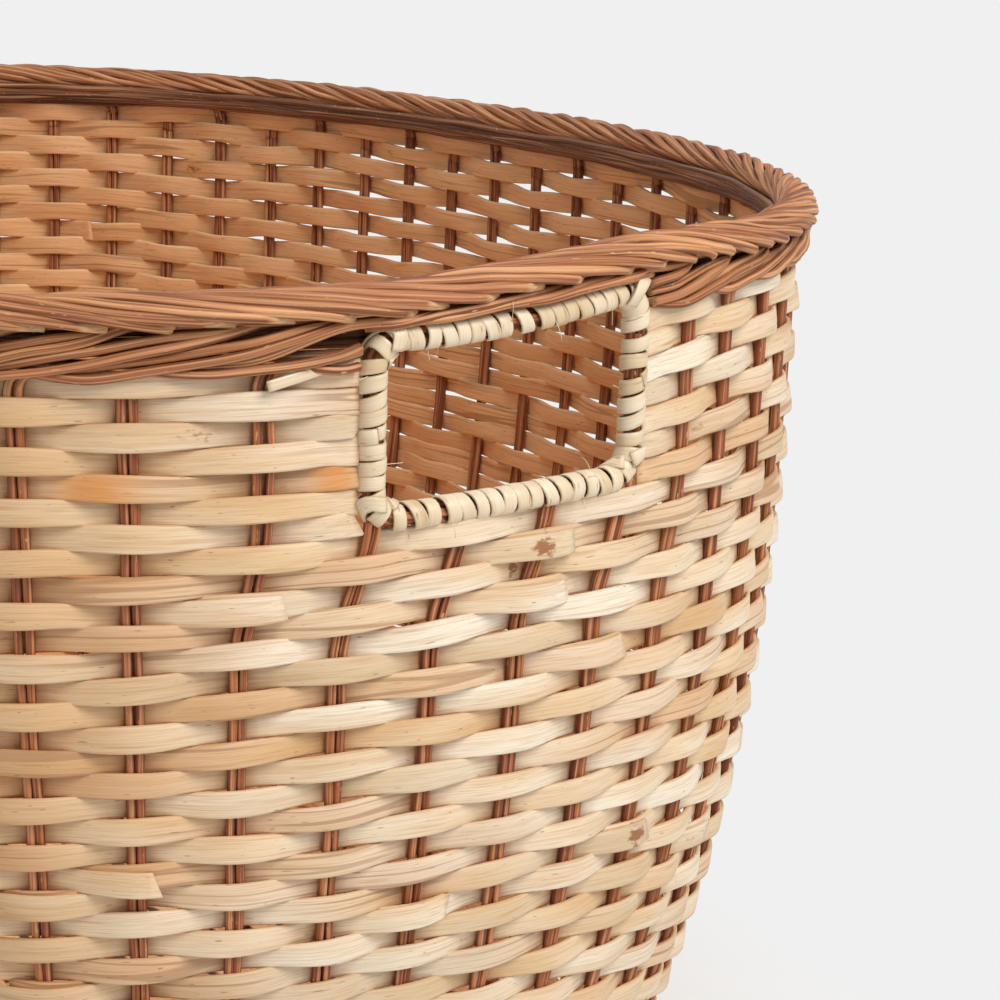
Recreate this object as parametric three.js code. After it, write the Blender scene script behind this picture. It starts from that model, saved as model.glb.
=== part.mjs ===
import * as THREE from "three";

// Woven laundry basket, in millimetres.
// The origin is on the floor under the middle of the base.
// X runs along the length, with a hand hole at each end, and Z is up.

// Plan of the wall at the top of the weave, on the middle of the wall's thickness
const PLAN_LENGTH = 615;
const PLAN_WIDTH = 437;
const PLAN_POWER = 2.3;

// Lean of the wall from upright, which grows from the top to the foot
const LEAN_TOP_DEG = 3;
const LEAN_FOOT_DEG = 30;
const LEAN_POWER = 1.85;

// Weave, measured down the wall: beside the hand holes and below them.
// Each course stands for three or so of the rows, and light shows through the slits between them.
const HANDLE_DEPTH = 45.5;
const WEAVE_BELOW = 234;
const ARC_COUNT = 2;
const RING_COUNT = 12;
const STRIP_THICKNESS = 1.6;
const SLIT = 1.3;

// Stakes, each a pair of canes, doubled at the foot so that two neighbours are one hairpin
const HAIRPINS_PER_SIDE = 15;
const CANE_DIAMETER = 3.3;
const TURN_IN = 14;

// Border above the weave
const BAND_HEIGHT = 9.5;
const BAND_THICKNESS = 3.3;
const BAND_WEB = 2;
const ROLL_WIDTH = 13.5;
const ROLL_HEIGHT = 9.5;

// Hand hole hoop and the peel strips wound round it
const HOOP_DIAMETER = 5.2;
const HOLE_CORNER = 6;
const WRAP_WIDTH = 3.8;
const WRAP_THICKNESS = 0.7;
const WRAP_LOOPS = 22;

// Base: the mat swings up and down from one cane to the next, and lies flat along its edge
const MAT_THICKNESS = 5;
const MAT_SWING = 1;
const MAT_COURSE_COUNT = 15;
const MAT_CANE_COUNT = 18;
const FOOT_HEIGHT = 6;
const FOOT_WIDTH = 9;

// Gap between neighbouring pieces, and what a wound strip stands further off its hoop in a corner
const GAP = 0.4;
const WRAP_EASE = 0.05;

// Steps of the curved shapes
const WRAP_STEPS = 6;
const CORNER_STEPS = 5;
const BAR_STEP = 12;
const ROLL_SIDES = 8;
const COURSES_PER_KNOT = 3;
const LEAN_STEPS = 24;
const ARC_SAMPLES = 4000;

// Sizes that follow from the ones above
const SIDE_PAIRS = Math.round(HAIRPINS_PER_SIDE);
const STAKES = 4 * SIDE_PAIRS + 4;
const BELOW = Math.round(RING_COUNT);
const BESIDE = Math.round(ARC_COUNT);
const LOOPS = Math.round(WRAP_LOOPS);
const COURSE = WEAVE_BELOW / BELOW;
const WALL = HANDLE_DEPTH + WEAVE_BELOW;
const LEAN_FOOT = THREE.MathUtils.degToRad(LEAN_FOOT_DEG);
const SWING = CANE_DIAMETER / 2 + GAP + STRIP_THICKNESS / 2;
const STAKE_TOP = -(BAND_HEIGHT - BAND_WEB - GAP);

const TURN_Z = FOOT_HEIGHT + GAP + CANE_DIAMETER / 2;
const MAT_Z = TURN_Z + CANE_DIAMETER / 2 + GAP;
const WALL_FOOT_Z = MAT_Z + MAT_THICKNESS + GAP;

const HOOP_CORE = HOOP_DIAMETER / 2;
const WRAP_INNER = HOOP_CORE + GAP / Math.cos(Math.PI / WRAP_STEPS) + WRAP_EASE;
const HOOP_OUT = WRAP_INNER + WRAP_THICKNESS;

// Plan curve, a rounded oval run through anticlockwise from the right-hand end
class Oval extends THREE.Curve {
  getPoint(t, target = new THREE.Vector3()) {
    const angle = 2 * Math.PI * t;
    const c = Math.cos(angle);
    const s = Math.sin(angle);
    const x = Math.sign(c) * Math.abs(c) ** (2 / PLAN_POWER);
    const y = Math.sign(s) * Math.abs(s) ** (2 / PLAN_POWER);
    return target.set((x * PLAN_LENGTH) / 2, (y * PLAN_WIDTH) / 2, 0);
  }
}

const oval = new Oval();
oval.arcLengthDivisions = ARC_SAMPLES;
const PERIMETER = oval.getLength();
const PITCH = PERIMETER / STAKES;

// Profile of the wall as a few straight stretches: how far in and how far down it is at a depth
function leanAt(depth) {
  const share = Math.max(depth, 0) / WALL;
  const degrees = LEAN_TOP_DEG + (LEAN_FOOT_DEG - LEAN_TOP_DEG) * share ** LEAN_POWER;
  return THREE.MathUtils.degToRad(degrees);
}

function profileKnots() {
  const depths = [0, HANDLE_DEPTH];
  for (let course = COURSES_PER_KNOT; course < BELOW; course += COURSES_PER_KNOT) {
    depths.push(HANDLE_DEPTH + course * COURSE);
  }
  depths.push(WALL);
  const found = [{ depth: 0, inset: 0, drop: 0 }];
  for (let i = 1; i < depths.length; i++) {
    const last = found[i - 1];
    const step = (depths[i] - last.depth) / LEAN_STEPS;
    const knot = { depth: depths[i], inset: last.inset, drop: last.drop };
    for (let j = 0; j < LEAN_STEPS; j++) {
      const lean = leanAt(last.depth + (j + 0.5) * step);
      knot.inset += Math.sin(lean) * step;
      knot.drop += Math.cos(lean) * step;
    }
    found.push(knot);
  }
  return found;
}

const knots = profileKnots();
const foot = knots[knots.length - 1];
const WEAVE_TOP_Z = WALL_FOOT_Z + foot.drop;

function profile(depth) {
  let i = 1;
  while (i < knots.length - 1 && depth > knots[i].depth) {
    i += 1;
  }
  const a = knots[i - 1];
  const b = knots[i];
  const share = (depth - a.depth) / (b.depth - a.depth);
  const inset = a.inset + (b.inset - a.inset) * share;
  const drop = a.drop + (b.drop - a.drop) * share;
  return { inset, z: WEAVE_TOP_Z - drop };
}

// Directions of the wall at a distance round the plan: along it and out of it
function wallFrame(along) {
  const u = THREE.MathUtils.euclideanModulo(along / PERIMETER, 1);
  const at = oval.getPointAt(u);
  const side = oval.getTangentAt(u);
  const out = new THREE.Vector3(side.y, -side.x, 0);
  return { at, side, out };
}

function pointAt(frame, inset, z) {
  return frame.at.clone().addScaledVector(frame.out, -inset).setZ(z);
}

function wallPoint(along, outward, depth) {
  const { inset, z } = profile(depth);
  return pointAt(wallFrame(along), inset - outward, z);
}

function stakeAlong(index) {
  return (index + 0.5) * PITCH;
}

// Solid through a row of like outlines, either closed into a ring or capped at both ends
function loft(sections, ring) {
  const sides = sections[0].length;
  const count = sections.length;
  const points = sections.flat();
  const index = [];
  const spans = ring ? count : count - 1;
  for (let i = 0; i < spans; i++) {
    const here = i * sides;
    const next = ((i + 1) % count) * sides;
    for (let j = 0; j < sides; j++) {
      const k = (j + 1) % sides;
      index.push(here + j, here + k, next + k);
      index.push(here + j, next + k, next + j);
    }
  }
  if (!ring) {
    const last = (count - 1) * sides;
    for (const [a, b, c] of capFaces(sections[0])) {
      index.push(a, c, b);
      index.push(last + a, last + b, last + c);
    }
  }
  return closedGeometry(points, index);
}

// Faces of a flat outline, from its points in its own plane
function capFaces(outline) {
  const origin = outline[0];
  const first = outline[1].clone().sub(origin).normalize();
  const normal = new THREE.Vector3();
  for (let i = 1; i < outline.length - 1; i++) {
    const a = outline[i].clone().sub(origin);
    const b = outline[i + 1].clone().sub(origin);
    normal.add(a.cross(b));
  }
  const second = normal.normalize().clone().cross(first);
  const flat = outline.map((point) => {
    const arm = point.clone().sub(origin);
    return new THREE.Vector2(arm.dot(first), arm.dot(second));
  });
  return THREE.ShapeUtils.triangulateShape(flat, []);
}

// Geometry whose faces all look outward, whichever way the outlines ran
function closedGeometry(points, index) {
  let volume = 0;
  const cross = new THREE.Vector3();
  for (let i = 0; i < index.length; i += 3) {
    cross.crossVectors(points[index[i + 1]], points[index[i + 2]]);
    volume += points[index[i]].dot(cross);
  }
  if (volume < 0) {
    for (let i = 0; i < index.length; i += 3) {
      [index[i + 1], index[i + 2]] = [index[i + 2], index[i + 1]];
    }
  }
  const shape = new THREE.BufferGeometry();
  shape.setFromPoints(points);
  shape.setIndex(index);
  const faceted = shape.toNonIndexed();
  faceted.computeVertexNormals();
  return faceted;
}

// Materials
const strip = new THREE.MeshStandardMaterial({ color: 0xe2cda6, roughness: 0.5, metalness: 0 });
strip.name = "split_rattan";
const cane = new THREE.MeshStandardMaterial({ color: 0x92633f, roughness: 0.55, metalness: 0 });
cane.name = "brown_cane";
const tan = new THREE.MeshStandardMaterial({ color: 0xa97b50, roughness: 0.55, metalness: 0 });
tan.name = "border_cane";
const peel = new THREE.MeshStandardMaterial({ color: 0xe3d8ae, roughness: 0.35, metalness: 0 });
peel.name = "rattan_peel";

const group = new THREE.Group();
group.name = "laundry_basket";

function add(name, geometry, material) {
  const mesh = new THREE.Mesh(geometry, material);
  mesh.name = name;
  group.add(mesh);
}

function numbered(number) {
  return String(number).padStart(2, "0");
}

// Weavers: one outline at each stake, swinging to the outside of one and the inside of the next
function stripOutline(along, middle, top, bottom) {
  const half = STRIP_THICKNESS / 2;
  return [
    wallPoint(along, middle + half, top),
    wallPoint(along, middle - half, top),
    wallPoint(along, middle - half, bottom),
    wallPoint(along, middle + half, bottom),
  ];
}

function swingAt(index, course) {
  return (index + course) % 2 === 0 ? SWING : -SWING;
}

for (let i = 0; i < BELOW; i++) {
  const course = BESIDE + i;
  const top = HANDLE_DEPTH + i * COURSE + SLIT / 2;
  const bottom = top + COURSE - SLIT;
  const outlines = [];
  for (let k = 0; k < STAKES; k++) {
    outlines.push(stripOutline(stakeAlong(k), swingAt(k, course), top, bottom));
  }
  add(`weaver_course_${numbered(course + 1)}`, loft(outlines, true), strip);
}

// Stretches of wall between the two hand holes, on the back half and on the front half
const BESIDE_HOOP = 1.5 * PITCH + HOOP_OUT + GAP;
const halves = [
  { side: "back", start: 0, first: 2, last: STAKES / 2 - 3 },
  { side: "front", start: PERIMETER / 2, first: STAKES / 2 + 2, last: STAKES - 3 },
];

for (const { side, start, first, last } of halves) {
  const from = start + BESIDE_HOOP;
  const to = start + PERIMETER / 2 - BESIDE_HOOP;
  for (let course = 0; course < BESIDE; course++) {
    const height = HANDLE_DEPTH / BESIDE;
    const top = course * height + SLIT / 2;
    const bottom = top + height - SLIT;
    const outlines = [stripOutline(from, 0, top, bottom)];
    for (let k = first; k <= last; k++) {
      outlines.push(stripOutline(stakeAlong(k), swingAt(k, course), top, bottom));
    }
    outlines.push(stripOutline(to, 0, top, bottom));
    add(`weaver_${side}_${numbered(course + 1)}`, loft(outlines, false), strip);
  }

  // Lower band of the border, which straddles the tops of the stakes
  const near = CANE_DIAMETER / 2 + GAP;
  const far = near + BAND_THICKNESS;
  const low = -GAP / 2;
  const web = -(BAND_HEIGHT - BAND_WEB);
  const bandOutline = (along) => [
    wallPoint(along, far, low),
    wallPoint(along, far, -BAND_HEIGHT),
    wallPoint(along, -far, -BAND_HEIGHT),
    wallPoint(along, -far, low),
    wallPoint(along, -near, low),
    wallPoint(along, -near, web),
    wallPoint(along, near, web),
    wallPoint(along, near, low),
  ];
  const bands = [bandOutline(from)];
  for (let k = first; k <= last; k++) {
    bands.push(bandOutline(stakeAlong(k)));
  }
  bands.push(bandOutline(to));
  add(`border_band_${side}`, loft(bands, false), tan);
}

// Upper roll of the border
const rollOutlines = [];
for (let k = 0; k < STAKES; k++) {
  const frame = wallFrame(k * PITCH);
  const { inset, z } = profile(-(BAND_HEIGHT + GAP));
  const outline = [];
  for (let j = 0; j < ROLL_SIDES; j++) {
    const angle = (2 * Math.PI * (j + 0.5)) / ROLL_SIDES;
    const reach = Math.cos(Math.PI / ROLL_SIDES);
    const across = (Math.cos(angle) * ROLL_WIDTH) / 2 / reach;
    const up = (Math.sin(angle) * ROLL_HEIGHT) / 2 / reach;
    outline.push(pointAt(frame, inset - across, z + ROLL_HEIGHT / 2 + up));
  }
  rollOutlines.push(outline);
}
add("border_roll", loft(rollOutlines, true), tan);

// Stakes: a diamond outline as wide as two canes, down the wall and in under the mat
const FOOT_SLOPE = Math.tan(LEAN_FOOT);
const TURN_INSET = foot.inset + (WALL_FOOT_Z - TURN_Z) * FOOT_SLOPE;
const END_INSET = TURN_INSET + TURN_IN;
const UP = new THREE.Vector3(0, 0, 1);

function diamond(centre, wide, thick) {
  return [
    centre.clone().add(wide),
    centre.clone().add(thick),
    centre.clone().sub(wide),
    centre.clone().sub(thick),
  ];
}

function isCut(index) {
  const fromEnd = Math.min(index % (STAKES / 2), STAKES / 2 - 1 - (index % (STAKES / 2)));
  return fromEnd < 2;
}

// Outlines of one leg from its top to its turn. The inner side of the hairpin is toward `inner`.
function legOutlines(index, inner) {
  const frame = wallFrame(stakeAlong(index));
  const wide = frame.side.clone().multiplyScalar(inner * CANE_DIAMETER);
  const thick = frame.out.clone().multiplyScalar(CANE_DIAMETER / 2);
  const depths = knots.slice(1).map((knot) => knot.depth);
  if (!isCut(index)) {
    depths.unshift(STAKE_TOP);
  }
  const outlines = depths.map((depth) => {
    const { inset, z } = profile(depth);
    return diamond(pointAt(frame, inset, z), wide, thick);
  });
  const bent = thick.clone().multiplyScalar(0.7).addScaledVector(UP, -0.45 * CANE_DIAMETER);
  outlines.push(diamond(pointAt(frame, TURN_INSET, TURN_Z), wide, bent));
  const corner = wide.clone().addScaledVector(frame.out, CANE_DIAMETER);
  const under = UP.clone().multiplyScalar(-CANE_DIAMETER / 2);
  outlines.push(diamond(pointAt(frame, END_INSET, TURN_Z), corner, under));
  return outlines;
}

const firsts = [STAKES - 1, STAKES / 2 - 1];
for (let pair = 0; pair < SIDE_PAIRS; pair++) {
  firsts.push(1 + 2 * pair);
  firsts.push(STAKES / 2 + 1 + 2 * pair);
}
firsts.sort((a, b) => a - b);
firsts.forEach((index, i) => {
  const down = legOutlines(index, 1);
  const up = legOutlines((index + 1) % STAKES, -1).reverse();
  add(`stake_hairpin_${numbered(i + 1)}`, loft([...down, ...up], false), cane);
});

// Hand holes: the hole's outline, round which the hoop runs at its own radius
const HOOP_TOP = -(BAND_HEIGHT - HOOP_OUT);
const HOOP_BOTTOM = HANDLE_DEPTH - GAP - HOOP_OUT;
const HOLE_HALF = 1.5 * PITCH - HOOP_OUT;
const HOLE_HIGH = -(HOOP_TOP + HOOP_OUT);
const HOLE_LOW = -(HOOP_BOTTOM - HOOP_OUT);
const HOLE_MIDDLE = (HOLE_HIGH + HOLE_LOW) / 2;

function holeOutline() {
  const r = HOLE_CORNER;
  const path = new THREE.Path();
  path.moveTo(HOLE_HALF, HOLE_MIDDLE);
  path.lineTo(HOLE_HALF, HOLE_HIGH - r);
  path.absarc(HOLE_HALF - r, HOLE_HIGH - r, r, 0, Math.PI / 2, false);
  path.lineTo(-HOLE_HALF + r, HOLE_HIGH);
  path.absarc(-HOLE_HALF + r, HOLE_HIGH - r, r, Math.PI / 2, Math.PI, false);
  path.lineTo(-HOLE_HALF, HOLE_LOW + r);
  path.absarc(-HOLE_HALF + r, HOLE_LOW + r, r, Math.PI, 1.5 * Math.PI, false);
  path.lineTo(HOLE_HALF - r, HOLE_LOW);
  path.absarc(HOLE_HALF - r, HOLE_LOW + r, r, 1.5 * Math.PI, 2 * Math.PI, false);
  path.lineTo(HOLE_HALF, HOLE_MIDDLE);
  return path;
}

const hole = holeOutline();

// Middle of the hoop at a share of the way round, with the directions along it and across it
function hoopFrame(start, share) {
  const at = hole.getPointAt(share);
  const along = hole.getTangentAt(share);
  const s = start + at.x + along.y * HOOP_OUT;
  const depth = -(at.y - along.x * HOOP_OUT);
  const { side, out } = wallFrame(s);
  const centre = wallPoint(s, 0, depth);
  const up = wallPoint(s, 0, depth - 1).sub(centre).normalize();
  const run = side.clone().multiplyScalar(along.x).addScaledVector(up, along.y);
  const away = side.clone().multiplyScalar(along.y).addScaledVector(up, -along.x);
  return { centre, run, away, out };
}

function aboutHoop(frame, radius, angle, forward) {
  return frame.centre
    .clone()
    .addScaledVector(frame.out, radius * Math.cos(angle))
    .addScaledVector(frame.away, radius * Math.sin(angle))
    .addScaledVector(frame.run, forward);
}

// Shares of the way round at which the hoop has an outline, closer together in its corners
function hoopShares() {
  const shares = [];
  let before = 0;
  for (const stretch of hole.curves) {
    const length = stretch.getLength();
    const count = stretch.isEllipseCurve ? CORNER_STEPS : Math.ceil(length / BAR_STEP);
    for (let i = 0; i < count; i++) {
      shares.push((before + (length * i) / count) / hole.getLength());
    }
    before += length;
  }
  return shares;
}

function hoop(start) {
  const outlines = [];
  for (const share of hoopShares()) {
    const frame = hoopFrame(start, share);
    const outline = [];
    for (let j = 0; j < WRAP_STEPS; j++) {
      outline.push(aboutHoop(frame, HOOP_CORE, (2 * Math.PI * j) / WRAP_STEPS, 0));
    }
    outlines.push(outline);
  }
  return loft(outlines, true);
}

// Winding of one peel strip over half of the hoop, as one unbroken flat strip
function winding(start, from, to) {
  const steps = LOOPS * WRAP_STEPS;
  const outlines = [];
  for (let i = 0; i <= steps; i++) {
    const frame = hoopFrame(start, from + ((to - from) * i) / steps);
    const angle = (2 * Math.PI * i) / WRAP_STEPS;
    const half = WRAP_WIDTH / 2;
    outlines.push([
      aboutHoop(frame, WRAP_INNER, angle, -half),
      aboutHoop(frame, HOOP_OUT, angle, -half),
      aboutHoop(frame, HOOP_OUT, angle, half),
      aboutHoop(frame, WRAP_INNER, angle, half),
    ]);
  }
  return outlines;
}

function leastGap(outlines) {
  let least = Infinity;
  for (let i = 0; i + WRAP_STEPS < outlines.length; i++) {
    const [, , , ahead] = outlines[i];
    const [behind] = outlines[i + WRAP_STEPS];
    const outerAhead = outlines[i][2];
    const outerBehind = outlines[i + WRAP_STEPS][1];
    least = Math.min(least, ahead.distanceTo(behind), outerAhead.distanceTo(outerBehind));
  }
  return least;
}

const SHARE_PER_MM = 1 / hole.getLength();
const WRAP_START = (WRAP_WIDTH / 2 + GAP) * SHARE_PER_MM;
const ends = [
  { side: "right", start: 0 },
  { side: "left", start: PERIMETER / 2 },
];
const lengths = [
  { part: "upper", from: WRAP_START, to: 0.5 - WRAP_START },
  { part: "lower", from: 0.5 + WRAP_START, to: 1 - WRAP_START },
];
for (const { side, start } of ends) {
  add(`handle_hoop_${side}`, hoop(start), cane);
  for (const { part, from, to } of lengths) {
    const outlines = winding(start, from, to);
    const name = `handle_binding_${side}_${part}`;
    console.log(`${name}: least gap to itself ${leastGap(outlines).toFixed(2)} mm`);
    add(name, loft(outlines, false), peel);
  }
}

// Base mat, which lies on the turned-in stakes.
// Its grid fills the oval, with lines across the basket as far apart as the edge allows.
const MAT_INSET = foot.inset + (WALL_FOOT_Z - MAT_Z) * FOOT_SLOPE + CANE_DIAMETER / 2 + GAP;
const MAT_COURSES = Math.round(MAT_COURSE_COUNT);
const MAT_CANES = Math.round(MAT_CANE_COUNT);
const EDGE_SHARE = 0.97;
const quarter = [];
for (let i = 0; i <= ARC_SAMPLES / 4; i++) {
  quarter.push(pointAt(wallFrame((PERIMETER * i) / ARC_SAMPLES), MAT_INSET, 0));
}

function matReach(y) {
  const beyond = quarter.findIndex((point) => point.y >= Math.abs(y));
  return quarter[Math.max(beyond, 0)].x;
}

// Up or down in turn, but flat where the mat lies on the stakes, and for one more cell
const MAT_FLAT = TURN_IN + 2 * CANE_DIAMETER + (2 * matReach(0)) / MAT_CANES;

function matSwing(x, y, turn) {
  const here = new THREE.Vector3(Math.abs(x), Math.abs(y), 0);
  const fromEdge = Math.min(...quarter.map((point) => point.distanceTo(here)));
  if (fromEdge < MAT_FLAT) {
    return 0;
  }
  return turn % 2 === 0 ? MAT_SWING : -MAT_SWING;
}

const MAT_HALF_WIDTH = EDGE_SHARE * quarter[quarter.length - 1].y;
const matRows = [];
for (let line = 0; line <= MAT_COURSES; line++) {
  const y = MAT_HALF_WIDTH * ((2 * line) / MAT_COURSES - 1);
  const reach = matReach(y);
  const row = [];
  for (let column = 0; column <= MAT_CANES; column++) {
    const x = reach * ((2 * column) / MAT_CANES - 1);
    row.push(new THREE.Vector3(x, y, MAT_Z + matSwing(x, y, line + column)));
  }
  matRows.push(row);
}
const matLower = matRows.flat();
const lift = new THREE.Vector3(0, 0, MAT_THICKNESS);
const matPoints = [...matLower, ...matLower.map((point) => point.clone().add(lift))];
const matIndex = [];
const wide = MAT_CANES + 1;

function matWall(a, b) {
  const over = matLower.length;
  matIndex.push(a, b, b + over);
  matIndex.push(a, b + over, a + over);
}

for (let line = 0; line < MAT_COURSES; line++) {
  for (let column = 0; column < MAT_CANES; column++) {
    const a = line * wide + column;
    const faces = [
      [a, a + 1, a + wide + 1],
      [a, a + wide + 1, a + wide],
    ];
    for (const [p, q, r] of faces) {
      matIndex.push(p, r, q);
      matIndex.push(p + matLower.length, q + matLower.length, r + matLower.length);
    }
  }
}
for (let column = 0; column < MAT_CANES; column++) {
  const far = MAT_COURSES * wide;
  matWall(column, column + 1);
  matWall(far + column + 1, far + column);
}
for (let line = 0; line < MAT_COURSES; line++) {
  matWall((line + 1) * wide, line * wide);
  matWall(line * wide + MAT_CANES, (line + 1) * wide + MAT_CANES);
}
add("base_mat", closedGeometry(matPoints, matIndex), strip);

// Foot ring under the turned-in stakes
const footOutlines = [];
for (let k = 0; k < STAKES; k++) {
  const frame = wallFrame(k * PITCH);
  const middle = TURN_INSET + TURN_IN / 2;
  footOutlines.push([
    pointAt(frame, middle - FOOT_WIDTH / 2, 0),
    pointAt(frame, middle - FOOT_WIDTH / 2, FOOT_HEIGHT),
    pointAt(frame, middle + FOOT_WIDTH / 2, FOOT_HEIGHT),
    pointAt(frame, middle + FOOT_WIDTH / 2, 0),
  ]);
}
add("foot_ring", loft(footOutlines, true), cane);

export default group;
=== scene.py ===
# %% [markdown]
# # A woven rattan laundry basket
# The plain solids of the part are the frame of this lesson. Each of them gets dressed as
# real basketwork: split strips woven over pairs of canes, a plaited border, two bound hand
# holes, a woven base and a foot of twisted canes.

# %% Load the frame
import math
from dataclasses import dataclass

import bmesh
import bpy
import numpy as np
from mathutils import Euler, Matrix, Vector


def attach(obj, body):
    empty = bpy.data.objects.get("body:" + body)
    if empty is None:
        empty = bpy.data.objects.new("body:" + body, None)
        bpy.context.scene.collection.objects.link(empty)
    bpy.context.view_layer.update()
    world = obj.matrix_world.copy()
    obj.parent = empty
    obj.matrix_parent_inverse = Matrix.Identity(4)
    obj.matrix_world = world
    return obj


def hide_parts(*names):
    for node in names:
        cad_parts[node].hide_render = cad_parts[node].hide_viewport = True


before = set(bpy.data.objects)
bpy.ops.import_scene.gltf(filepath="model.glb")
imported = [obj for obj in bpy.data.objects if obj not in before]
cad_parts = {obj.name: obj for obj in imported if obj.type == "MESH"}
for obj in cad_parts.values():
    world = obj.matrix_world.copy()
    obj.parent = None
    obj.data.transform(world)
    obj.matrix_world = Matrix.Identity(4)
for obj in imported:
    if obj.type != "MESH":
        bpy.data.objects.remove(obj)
scene = bpy.context.scene
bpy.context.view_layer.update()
print("solids in the frame:", len(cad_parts))

# %% [markdown]
# ## The wall as a map
# Everything on the basket lies on one leaning oval wall, so it helps to have a map of it.
# A place on the wall is given by three lengths in millimetres: how far round it is from the
# right-hand end, how far down it is from the top of the weave, and how far it stands out of
# the middle of the wall.

# %% Sizes of the wall
MM = 0.001
UP = np.array([0.0, 0.0, 1.0])
PLAN_LENGTH = 615.0
PLAN_WIDTH = 437.0
PLAN_POWER = 2.3
LEAN_TOP = math.radians(3)
LEAN_FOOT = math.radians(30)
LEAN_POWER = 1.85
ROW = 6.5
ROWS = 43
ROWS_BESIDE_HOLE = 7
ROWS_PER_COURSE = 3
WALL = ROW * ROWS
WALL_FOOT_Z = 15.5
STAKES = 64
HALF_STAKES = STAKES // 2
OVAL_SAMPLES = 8001
ROUND_SAMPLES = 1801
DOWN_STEP = 0.5

turn = np.linspace(0, 2 * np.pi, OVAL_SAMPLES)
cosine, sine = np.cos(turn), np.sin(turn)
oval_x = np.sign(cosine) * np.abs(cosine) ** (2 / PLAN_POWER) * PLAN_LENGTH / 2
oval_y = np.sign(sine) * np.abs(sine) ** (2 / PLAN_POWER) * PLAN_WIDTH / 2
run = np.append(0, np.cumsum(np.hypot(np.diff(oval_x), np.diff(oval_y))))
PERIMETER = run[-1]
PITCH = PERIMETER / STAKES
HALF_ROUND = PERIMETER / 2
print(f"round the wall {PERIMETER:.0f} mm, one stake every {PITCH:.2f} mm")

# %% Plan and slope of the wall
round_steps = np.linspace(0, PERIMETER, ROUND_SAMPLES)
plan = np.column_stack([np.interp(round_steps, run, oval_x), np.interp(round_steps, run, oval_y)])
ahead = np.roll(plan[:-1], -2, axis=0) - np.roll(plan[:-1], 2, axis=0)
ahead /= np.linalg.norm(ahead, axis=1, keepdims=True)
outward = np.column_stack([ahead[:, 1], -ahead[:, 0]])
outward = np.vstack([outward, outward[:1]])

down_steps = np.arange(0, WALL + DOWN_STEP, DOWN_STEP)
lean_steps = LEAN_TOP + (LEAN_FOOT - LEAN_TOP) * (down_steps / WALL) ** LEAN_POWER
middles = (lean_steps[1:] + lean_steps[:-1]) / 2
inset_steps = np.append(0, np.cumsum(np.sin(middles) * DOWN_STEP))
drop_steps = np.append(0, np.cumsum(np.cos(middles) * DOWN_STEP))
WEAVE_TOP_Z = WALL_FOOT_Z + drop_steps[-1]
FOOT_INSET = inset_steps[-1]
print(f"weave top at {WEAVE_TOP_Z:.1f} mm, foot {FOOT_INSET:.1f} mm further in")

# %% [markdown]
# ## What the hands left uneven
# No basket is true. The rim over the near hand hole climbs to the right, and the hole itself
# stands a little that way. One gentle warp of the map does this to every strand alike, so that
# they stay together, which moving pieces one by one would not. To the right of the hole and
# at the back the weave goes higher up, and the band of the border is squeezed by as much.

# %% Smooth curves
def flowing(x, knots, values):
    """Smooth curve through a few values, of cubics that share their slopes."""
    knots = np.asarray(knots, float)
    values = np.asarray(values, float)
    slope = np.gradient(values, knots)
    i = np.clip(np.searchsorted(knots, x) - 1, 0, len(knots) - 2)
    width = knots[i + 1] - knots[i]
    t = np.clip((x - knots[i]) / width, 0, 1)
    rise = t * t * (3 - 2 * t)
    return (values[i] * (1 - rise) + values[i + 1] * rise
            + width * t * (1 - t) * (slope[i] * (1 - t) - slope[i + 1] * t))


def soft_step(x, low, high):
    """0 up to low, 1 from high on, and a soft rise between them."""
    t = np.clip((x - low) / (high - low), 0, 1)
    return t * t * (3 - 2 * t)


def far_side(along, low, high, fade):
    """1 between two places on the wall, counted in stakes, and 0 well outside them."""
    stakes = np.mod(along, PERIMETER) / PITCH
    return soft_step(stakes, low - fade, low) * (1 - soft_step(stakes, high, high + fade))


print("a quarter of the way up a soft step:", soft_step(0.25, 0, 1))

# %% The warp
# Places round the wall from the near hole, how far the rim is lifted there and what is left of the band.
RIM_PLACES = np.array([-8.0, -5.0, -3.0, -1.3, 0.2, 1.3, 2.6, 4.2, 6.0, 11.0, 25.0, 31.0]) * PITCH
RIM_LIFTS = np.array([0.0, -1.2, -1.8, -1.8, 0.9, 2.7, 4.2, 5.0, 5.0, 4.5, 4.0, 0.0])
BAND_SHARES = np.array([1.0, 1.0, 1.0, 1.0, 1.0, 1.0, 0.82, 0.56, 0.5, 0.48, 0.53, 1.0])
RIM_FADE = (5, 60)
HOLE_LEAN = 9.0
LEAN_REACH = (1.9 * PITCH, 3.6 * PITCH)
LEAN_FADE = (40, 80)


def from_near_hole(along):
    return np.mod(along + HALF_ROUND, PERIMETER) - HALF_ROUND


def warp(along, depth):
    """Places moved along the wall, and how far they are lifted."""
    near = from_near_hole(along)
    lift = flowing(near, RIM_PLACES, RIM_LIFTS) * (1 - soft_step(depth, *RIM_FADE))
    beside = 1 - soft_step(np.abs(near), *LEAN_REACH)
    lean = HOLE_LEAN * beside * (1 - soft_step(depth, *LEAN_FADE))
    return along + lean, lift


print("the top of the near hole moves by", np.round(warp(0.0, 0.0), 1))

# %% The map
def plan_place(along):
    """Plan points and outward directions at distances round the wall."""
    s = np.mod(along, PERIMETER)
    place = [np.interp(s, round_steps, plan[:, i]) for i in (0, 1)]
    out = [np.interp(s, round_steps, outward[:, i]) for i in (0, 1)]
    flat = np.zeros_like(s)
    return np.stack([*place, flat], axis=-1), np.stack([*out, flat], axis=-1)


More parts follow.
